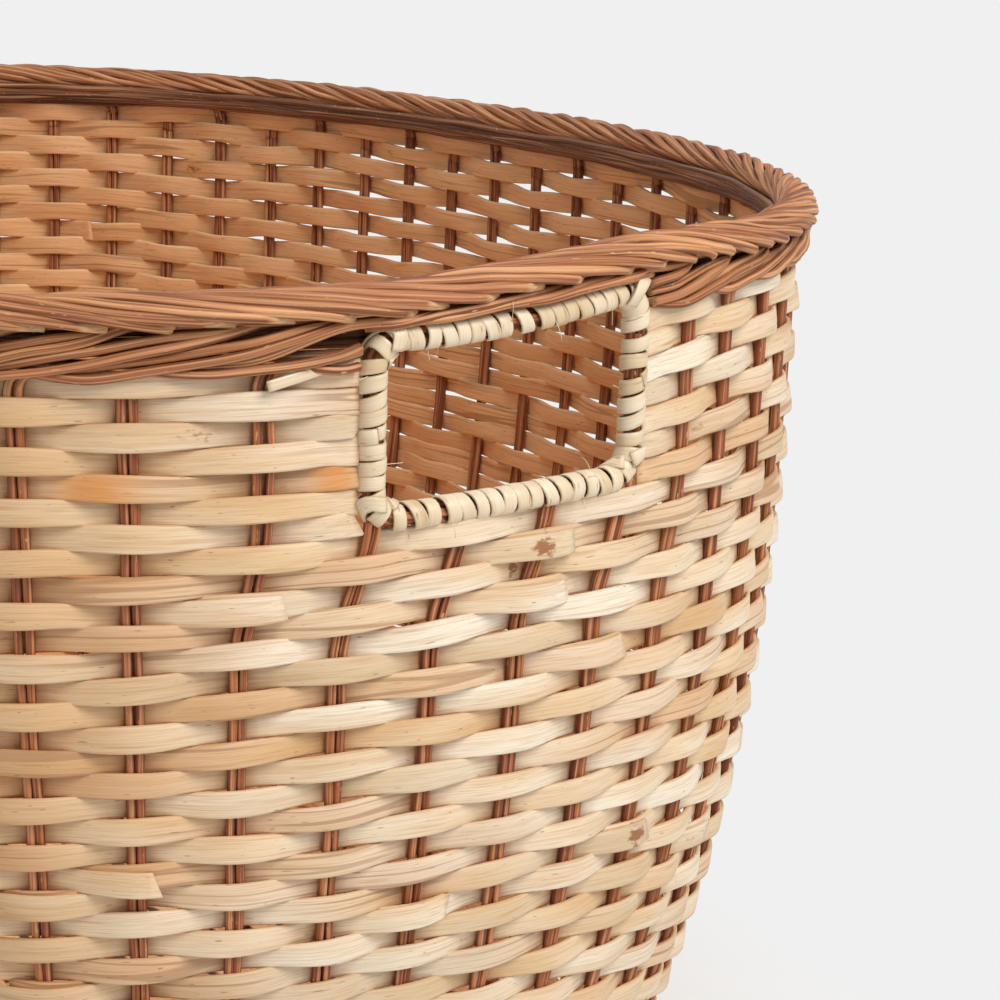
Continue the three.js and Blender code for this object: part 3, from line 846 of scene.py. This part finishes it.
def border_cane(stake, second, seed, rings=120):
    """Strands of one cane along the route: one, or more where a bar of a hand hole cuts it."""
    rng = draws("border", seed)
    top = -min(stake_top(stake), 1.5 * ROW)
    knots = np.vstack([[0.0, 0.0, top], ROUTE])
    spans = np.hypot(np.diff(knots[:, 0]) * PITCH, np.linalg.norm(np.diff(knots[:, 1:], axis=0), axis=1))
    way = np.append(0, np.cumsum(spans))
    t = np.linspace(0, way[-1] + rng.uniform(*END_SPREAD), rings)
    shift, out, up = (flowing(t, way, knots[:, i]) for i in range(3))
    layer = soft_step(shift, 0.15, 0.7) * (1 - soft_step(shift, 2.3, 3.1))
    turn_way = 1 if second else -1
    out = out + turn_way * LAYER_OUT * layer
    up = up - turn_way * LAYER_UP * layer
    later = SECOND_LATER * second * soft_step(shift, 3.0, 4.4)
    apart = -turn_way * PAIR_HALF * (1 - soft_step(shift, 0.1, 0.9))
    along = stake_along(stake) + (shift + later) * PITCH + apart
    hole = np.mod(along + HALF_ROUND / 2, HALF_ROUND) - HALF_ROUND / 2
    up, cuts = over_bar(shift, up, hole)
    up = up + wander(rng, t, reach=70, size=0.3)
    out = out + wander(rng, t, reach=50, size=0.2)
    for i in cuts:
        out = out - CUT_IN * (1 - soft_step(np.abs(t - t[i]), 0, CUT_EASE))
    up = squeeze(along, up)
    size = CANE * (0.96 + ROLL_THICKER * soft_step(shift, 3.2, 4.6) + wander(rng, t, reach=80, size=0.05))
    cut_off = soft_step(t, t[-1] - WEDGE * rng.uniform(*WEDGE_SPREAD), t[-1])
    thick = size * (1 - WEDGE_THINNER * cut_off)
    line, normal = on_wall(along, -up, out - (size - thick) / 2)
    pieces = [p for p in np.split(np.arange(len(t)), cuts) if len(p) > FEWEST_RINGS]
    return [Strand(line[p], normal[p], thick[p], size[p], seed=seed % 83 + 1, mark=(cut_off[p] > 0.02) * 1.0)
            for p in pieces]


print("strands of a cane over the near hole:", len(border_cane(STAKES - 2, 0, 0)))

# %% Plait the border
# Canes that fill the roll and line the band: out of the wall and up from the weave.
CORE = ((-1.4, 13.8), (0.2, 15.4), (2.6, 13.0), (0.0, 11.6))
LINING = ((-2.8, 1.6), (-5.0, 4.0), (-5.2, 6.4), (-5.2, 8.6), (-5.6, 11.0))
LONG_SEEDS = {"front": 90, "back": 102}


def long_cane(start, stop, out, up, seed, rings=300):
    rng = draws("long_cane", seed)
    along = np.linspace(start, stop, rings)
    up = squeeze(along, up) + wander(rng, along, reach=90, size=0.3)
    line, normal = on_wall(along, -up, out + wander(rng, along, reach=70, size=0.2))
    return Strand(line, normal, CANE, CANE, seed=seed)


for side, first in (("back", 0), ("front", HALF_STAKES)):
    canes = [strand for k in range(first, first + HALF_STAKES) for second in (0, 1)
             for strand in border_cane(k, second, 2 * k + second)]
    start = first * PITCH
    stop = start + HALF_ROUND
    seed = LONG_SEEDS[side]
    canes += [long_cane(start, stop, *place, seed + i) for i, place in enumerate(CORE)]
    make_piece(f"border_canes_{side}", canes, [border_finish, pith_finish],
               [f"border_band_{side}", "border_roll"])
    seed += len(CORE)
    lining = [long_cane(start + BAR_REST, stop - BAR_REST, *LINING[0], seed)]
    lining += [long_cane(start, stop, *place, seed + i) for i, place in enumerate(LINING) if i > 0]
    make_piece(f"lining_canes_{side}", lining, [shaded_lining_finish, pith_finish],
               [f"border_band_{side}"])
print("border canes:", 2 * STAKES)

# %% [markdown]
# ## Bound hand holes
# A hoop of thin canes frames each hand hole, and a strip of shiny peel is wound round it, turn
# by turn. The turns are not even: some lie close, some leave the hoop showing. Two windings
# share a hoop, one for its upper and one for its lower half.

# %% Hoop line
HOLE_HALF = 1.5 * PITCH + 0.9
TOP_BAR = 5.0
CORNER = 7.5
SAG = 1.4
ARC_POINTS = 13
BAR_POINTS = 25
HOOP_SAMPLES = 1201


def hoop_outline():
    """Middle line of a hoop on the wall's map, from the middle of the right bar up and round."""
    middle = (TOP_BAR - LOWER_BAR) / 2
    reach = np.array([HOLE_HALF - CORNER, (TOP_BAR + LOWER_BAR) / 2 - CORNER])
    arc = np.linspace(0, np.pi / 2, ARC_POINTS)
    corners = []
    for quarter, way in enumerate([(1, 1), (-1, 1), (-1, -1), (1, -1)]):
        angle = arc + quarter * np.pi / 2
        corners.append(way * reach + [0, middle] + CORNER * np.column_stack([np.cos(angle), np.sin(angle)]))
    across = np.linspace(reach[0], -reach[0], BAR_POINTS)[1:-1]
    sagging = np.column_stack([across, TOP_BAR - SAG * (1 - (across / reach[0]) ** 2)])
    points = np.vstack([[HOLE_HALF, middle], corners[0], sagging, *corners[1:], [HOLE_HALF, middle]])
    lengths = np.append(0, np.cumsum(np.linalg.norm(np.diff(points, axis=0), axis=1)))
    even = np.linspace(0, lengths[-1], HOOP_SAMPLES)
    return even, np.column_stack([np.interp(even, lengths, points[:, i]) for i in (0, 1)])


hoop_way, hoop_points = hoop_outline()
HOOP_LENGTH = hoop_way[-1]
print(f"a hoop is {HOOP_LENGTH:.0f} mm long")

# %% Hoop frame
NEARBY = 0.6


def hoop_place(centre, way):
    """Points of a hoop, with the direction out of the wall."""
    x, up = (np.interp(np.mod(way, HOOP_LENGTH), hoop_way, hoop_points[:, i]) for i in (0, 1))
    return on_wall(centre + x, -up)


def around(centre, way, angle):
    """Points along a hoop, the directions out of the wall, and those at an angle round the hoop."""
    line, normal = hoop_place(centre, way)
    run_way = unit(hoop_place(centre, way + NEARBY)[0] - hoop_place(centre, way - NEARBY)[0])
    away = unit(np.cross(run_way, normal))
    return line, normal, normal * np.cos(angle)[:, None] + away * np.sin(angle)[:, None]


def hoop_canes(centre, seed, count=3, cane=2.5, bundle=1.3, twist=160, overlap=12, rings=200):
    strands = []
    way = np.linspace(0, HOOP_LENGTH + overlap, rings)
    for i in range(count):
        line, normal, shift = around(centre, way, 2 * np.pi * (i / count + way / twist))
        strands.append(Strand(line + bundle * shift, normal, cane, cane, seed=seed + i))
    return strands


print("canes in a hoop:", len(hoop_canes(0.0, 0)))

# %% Windings
WIND_RADIUS = 3.3
WRAP_RADIUS = WIND_RADIUS + 0.7
PEEL_WIDE = 4.0
PEEL_THICK = 0.8
TURNS = 27
STEPS_PER_TURN = 16
ASKEW = 0.9


def peel(line, face, wide, seed, square=3.4):
    return Strand(line, face, PEEL_THICK, wide, sides=10, square=square, seed=seed)


def winding(centre, start, stop, seed):
    """One strip of peel, wound round half of a hoop with uneven turns."""
    rng = draws("winding", seed)
    gaps = rng.gamma(0.9, 0.6, TURNS)
    spread = np.append(0, np.cumsum(PEEL_WIDE * 0.97 + gaps))
    spread = spread / spread[-1] * (stop - start)
    turns = np.linspace(0, TURNS, TURNS * STEPS_PER_TURN + 1)
    way = start + flowing(turns, np.arange(TURNS + 1), spread)
    angle = 2 * np.pi * turns
    askew = flowing(turns, np.arange(TURNS + 1), rng.uniform(-ASKEW, ASKEW, TURNS + 1))
    line, _, radial = around(centre, way + askew * np.sin(angle), angle)
    lift = WIND_RADIUS + wander(rng, turns * 4, reach=9, size=0.12)
    wide = PEEL_WIDE + wander(rng, turns * 4, reach=14, size=0.25)
    return peel(line + radial * lift[:, None], radial, wide, seed, square=4.2)


print("turns on each half of a hoop:", TURNS)

# %% Corners and loose ends
CORNER_CUT = 2.2
WRAP_SLANT = 4.5


def corner_way(right, upper):
    """Distance along a hoop to one of its corners."""
    across = HOLE_HALF - CORNER_CUT
    up = TOP_BAR - CORNER_CUT if upper else CORNER_CUT - LOWER_BAR
    return hoop_way[np.argmin(np.linalg.norm(hoop_points - [across if right else -across, up], axis=1))]


def corner_wrap(centre, way, slant, seed, rings=26):
    """A turn of peel laid slantwise over a corner of the hoop."""
    angle = np.linspace(-0.5, 2 * np.pi - 0.9, rings)
    line, _, radial = around(centre, way + slant * np.cos(angle - 0.6), angle)
    return peel(line + radial * WRAP_RADIUS, radial, PEEL_WIDE, seed)


def slack_loop(centre, way, seed, rings=32, slant=3.2, farthest=2.6, wide=3.6):
    """A turn at a corner that was not pulled tight and stands off."""
    angle = np.linspace(-0.7, 3.5, rings)
    stand_off = farthest * np.sin(np.linspace(0, np.pi, rings)) ** 2
    line, _, radial = around(centre, way + slant * np.cos(angle), angle)
    return peel(line + radial * (WRAP_RADIUS + stand_off)[:, None], radial, wide, seed)


def loose_tail(centre, seed, rings=16, wide=2.9):
    """The end of the binding, tucked out to the left under the band."""
    along = centre + np.linspace(-1.95, -2.5, rings) * PITCH
    line, normal = on_wall(along, np.linspace(-0.4, 3.6, rings), np.linspace(2.4, 4.6, rings))
    return peel(line, normal, wide, seed)


def frayed_fibres(centre, start, stop, seed, count=14, rings=7, thick=0.2):
    """Thin fibres that stand off the peel here and there."""
    rng = draws("frayed", seed)
    fibres = []
    share = np.linspace(0, 1, rings)
    for i in range(count):
        turned, length, curl = rng.uniform(0, 2 * np.pi), rng.uniform(2, 5), rng.uniform(-0.9, 0.9)
        way = rng.uniform(start, stop) + rng.uniform(-2, 2) * share
        line, normal, radial = around(centre, way, turned + curl * share)
        reach = WIND_RADIUS + 0.2 + length * share ** 1.5
        fibres.append(Strand(line + radial * reach[:, None], normal, thick, thick, sides=5, seed=seed + i))
    return fibres


print(f"upper right corner {corner_way(True, True):.0f} mm along the hoop")

# %% Bind both hand holes
HALF_GAP = 0.3

for side, centre, number in (("right", 0.0, 11), ("left", HALF_ROUND, 31)):
    make_piece(f"hoop_canes_{side}", hoop_canes(centre, number), stake_finishes,
               [f"handle_hoop_{side}"])
    for half, start in (("upper", 0.0), ("lower", HOOP_LENGTH / 2)):
        stop = start + HOOP_LENGTH / 2
        upper = half == "upper"
        left_corner, right_corner = corner_way(False, upper), corner_way(True, upper)
        strips = [winding(centre, start + HALF_GAP, stop - HALF_GAP, number + (not upper)),
                  corner_wrap(centre, left_corner, -WRAP_SLANT, number + 5)]
        if upper:
            strips += [slack_loop(centre, right_corner, number + 3), loose_tail(centre, number + 7)]
        else:
            strips.append(corner_wrap(centre, right_corner, WRAP_SLANT, number + 3))
        strips += frayed_fibres(centre, start, stop, number + 20 + upper)
        make_piece(f"binding_{side}_{half}", strips, [peel_finish, peel_finish],
                   [f"handle_binding_{side}_{half}"])
print(f"two hoops bound with {2 * TURNS} turns each")

# %% [markdown]
# ## The base
# The base is woven flat in the same way: strips along the basket, over and under pairs of
# canes across it. A twisted pair of canes covers the joint to the wall on the inside. The
# photograph does not show the base, so it follows the wall.

# %% Strips and canes of the base
MAT_MIDDLE_Z = 12.6
MAT_UNDER_Z = 10.1
MAT_SWING = 1.75
MAT_STRIP_CROSS = 6.1
MAT_STRIP_WIDER = 0.5
MAT_STEPS_PER_STAKE = 8
MAT_CANE = 2.1
MAT_PAIR_HALF = 1.15
MAT_INSET = FOOT_INSET + (WALL_FOOT_Z - MAT_UNDER_Z) * math.tan(LEAN_FOOT) + 1.65
EDGE_CLEAR = 0.5

quarter_place, quarter_away = plan_place(np.linspace(0, PERIMETER / 4, 400))
quarter_edge = quarter_place - quarter_away * MAT_INSET


def mat_strip(row):
    y = row * ROW
    reach = np.interp(abs(y), quarter_edge[:, 1], quarter_edge[:, 0]) - EDGE_CLEAR
    x = np.linspace(-reach, reach, int(2 * reach / PITCH * MAT_STEPS_PER_STAKE) + 2)
    rng = draws("mat", row)
    wave = np.sin(np.pi * x / PITCH)
    z = MAT_MIDDLE_Z + MAT_SWING * wave * (-1) ** row
    line = np.column_stack([x, y + wander(rng, x, reach=90, size=0.2), z])
    wide = MAT_STRIP_CROSS + MAT_STRIP_WIDER * np.abs(wave) + wander(rng, x, reach=80, size=0.15)
    return Strand(line, np.tile(-UP, (len(x), 1)), STRIP_THICK, wide, square=2.7, seed=row + 60)


def mat_cane(x, seed, rings=40):
    edge_x, edge_y = quarter_edge[::-1, 0], quarter_edge[::-1, 1]
    reach = np.interp(abs(x), edge_x, edge_y) - EDGE_CLEAR
    y = np.linspace(-reach, reach, rings)
    line = np.column_stack([np.full_like(y, x), y, np.full_like(y, MAT_MIDDLE_Z)])
    return Strand(line, np.tile(UP, (rings, 1)), MAT_CANE, MAT_CANE, seed=seed)


mat_rows = int((quarter_edge[:, 1].max() - 3) / ROW)
mat_strips = [mat_strip(row) for row in range(-mat_rows, mat_rows + 1)]
make_piece("base_strips", mat_strips, strip_finishes, ["base_mat"])
mat_columns = int(quarter_edge[:, 0].max() / PITCH - 0.6)
mat_canes = [mat_cane(sign * (i + 0.5) * PITCH + side * MAT_PAIR_HALF, 4 * i + 2 * (sign > 0) + (side > 0))
             for i in range(mat_columns + 1) for sign in (-1, 1) for side in (-1, 1)]
print("base strips:", len(mat_strips), "and canes:", len(mat_canes))

# %% Twisted rings
def twisted_ring(inset, z, count, reach_out, reach_up, cane, twist, seed, overlap=25, rings=520):
    """Canes twisted round one another all the way round the basket."""
    strands = []
    turns = round(PERIMETER / twist)
    along = np.linspace(0, PERIMETER + overlap, rings)
    place, away = plan_place(along)
    for i in range(count):
        angle = 2 * np.pi * (turns * along / PERIMETER + i / count)
        further_in = (inset - reach_out * np.cos(angle))[:, None]
        height = (z + reach_up * np.sin(angle))[:, None]
        strands.append(Strand(place - away * further_in + UP * height, away, cane, cane, seed=seed + i))
    return strands


mat_canes += twisted_ring(inset=MAT_INSET + 0.6, z=16.6, count=2, reach_out=1.2, reach_up=1.2,
                          cane=2.5, twist=34, seed=70)
make_piece("base_canes", mat_canes, stake_finishes, ["base_mat"])
foot_canes = twisted_ring(inset=TURN_INSET + TURN_IN / 2, z=3.0, count=3, reach_out=2.9, reach_up=1.45,
                          cane=3.1, twist=52, seed=80)
make_piece("foot_canes", foot_canes, stake_finishes, ["foot_ring"])
print("canes of the foot:", len(foot_canes))

# %% [markdown]
# ## Floor, light and camera
# A pale floor carries the shadow, and further out it turns into the plain background of a
# product picture. A large soft lamp on the right, a weaker one above and a bright room light
# the basket.

# %% Floor
BACKGROUND = (0.871, 0.871, 0.871, 1)
FLOOR_GREYS = ((0.86, 0.86, 0.86, 1), (0.89, 0.89, 0.89, 1))
FLOOR_OVAL = (0.7, 1.0, 1.0)
FLOOR_FROM = 0.21
FLOOR_TO = 0.31


def seen_straight(start):
    """1 where the background itself is looked at, directly or in a reflection."""
    camera_ray, glossy_ray, transmission_ray = (start.node("LightPath", out=i) for i in (0, 3, 6))
    return camera_ray + glossy_ray + transmission_ray


floor_finish = bpy.data.materials.new("pale_floor")
floor_finish.use_nodes = True
floor_tree = floor_finish.node_tree
floor_start = Wire(floor_tree)
floor_shader = floor_tree.nodes["Principled BSDF"]
floor_shader.inputs["Roughness"].default_value = 0.9
floor_shader.inputs["Specular IOR Level"].default_value = 0.1
where = floor_start.node("TexCoord", out=3)
oval = floor_start.node("VectorMath", {0: where, 1: FLOOR_OVAL}, operation="MULTIPLY")
far_out = floor_start.node("VectorMath", {0: oval}, 1, operation="LENGTH")
mottle = floor_start.node("TexNoise", {"Vector": where, "Scale": 9.0, "Detail": 3.0})
floor_tree.links.new(mottle.blend(*FLOOR_GREYS).socket, floor_shader.inputs["Base Color"])
plain = floor_start.node("Emission", {"Color": BACKGROUND, "Strength": 1.0})
share = seen_straight(floor_start) * far_out.between(FLOOR_FROM, FLOOR_TO)
lit = Wire(floor_tree, floor_shader.outputs[0])
floor_mix = floor_start.node("MixShader", {0: share, 1: lit, 2: plain})
floor_tree.links.new(floor_mix.socket, floor_tree.nodes["Material Output"].inputs["Surface"])

floor_bm = bmesh.new()
bmesh.ops.create_grid(floor_bm, x_segments=8, y_segments=8, size=30)
floor = put("floor", as_mesh(floor_bm, "floor"))
floor.data.materials.append(floor_finish)
print("floor laid")

# %% Light
ROOM = (0.43, 0.43, 0.43, 1)

world = bpy.data.worlds.new("studio")
world.use_nodes = True
scene.world = world
world_tree = world.node_tree
world_start = Wire(world_tree)
room = world_tree.nodes["Background"]
room.inputs["Color"].default_value = ROOM
backdrop = world_start.node("Background", {"Color": BACKGROUND})
room_light = Wire(world_tree, room.outputs[0])
world_mix = world_start.node("MixShader", {0: seen_straight(world_start), 1: room_light, 2: backdrop})
world_tree.links.new(world_mix.socket, world_tree.nodes["World Output"].inputs["Surface"])


def soft_lamp(name, place, target, size, watts):
    lamp = bpy.data.lights.new(name, "AREA")
    lamp.size = size
    lamp.energy = watts
    holder = put(name, lamp)
    holder.location = place
    holder.rotation_euler = (Vector(target) - Vector(place)).to_track_quat("-Z", "Y").to_euler()


soft_lamp("key_lamp", place=(1.6, 0.3, 1.6), target=(0, 0, 0.18), size=1.1, watts=33)
soft_lamp("top_lamp", place=(0.1, 0.0, 1.9), target=(0, 0, 0.1), size=1.4, watts=9)
print("lamps lit")

# %% Camera
# The camera stands low in front of the right-hand end and looks a little down, as in the photograph.
CAMERA_ROUND = 1.1429
CAMERA_FAR = 1072.47
CAMERA_ABOVE = 140.97
CAMERA_PAN = -0.1641
CAMERA_DOWN = 0.2225
CAMERA_LENS = 118.1

camera = bpy.data.cameras.new("photo_camera")
camera.lens = CAMERA_LENS
camera.sensor_width = 36
camera.clip_start = 0.05
stand = Vector((CAMERA_FAR * math.sin(CAMERA_ROUND), -CAMERA_FAR * math.cos(CAMERA_ROUND),
                WEAVE_TOP_Z + CAMERA_ABOVE)) * MM
look = Euler((math.pi / 2 - CAMERA_DOWN, 0, CAMERA_ROUND + CAMERA_PAN))
photo_camera = put("photo_camera", camera)
photo_camera.matrix_world = Matrix.LocRotScale(stand, look, None)
scene.camera = photo_camera
scene.view_settings.view_transform = "Standard"
print("camera at", [round(v, 3) for v in stand])

# %% Clear away the straight rods
for mesh, _ in rods.values():
    bpy.data.meshes.remove(mesh)
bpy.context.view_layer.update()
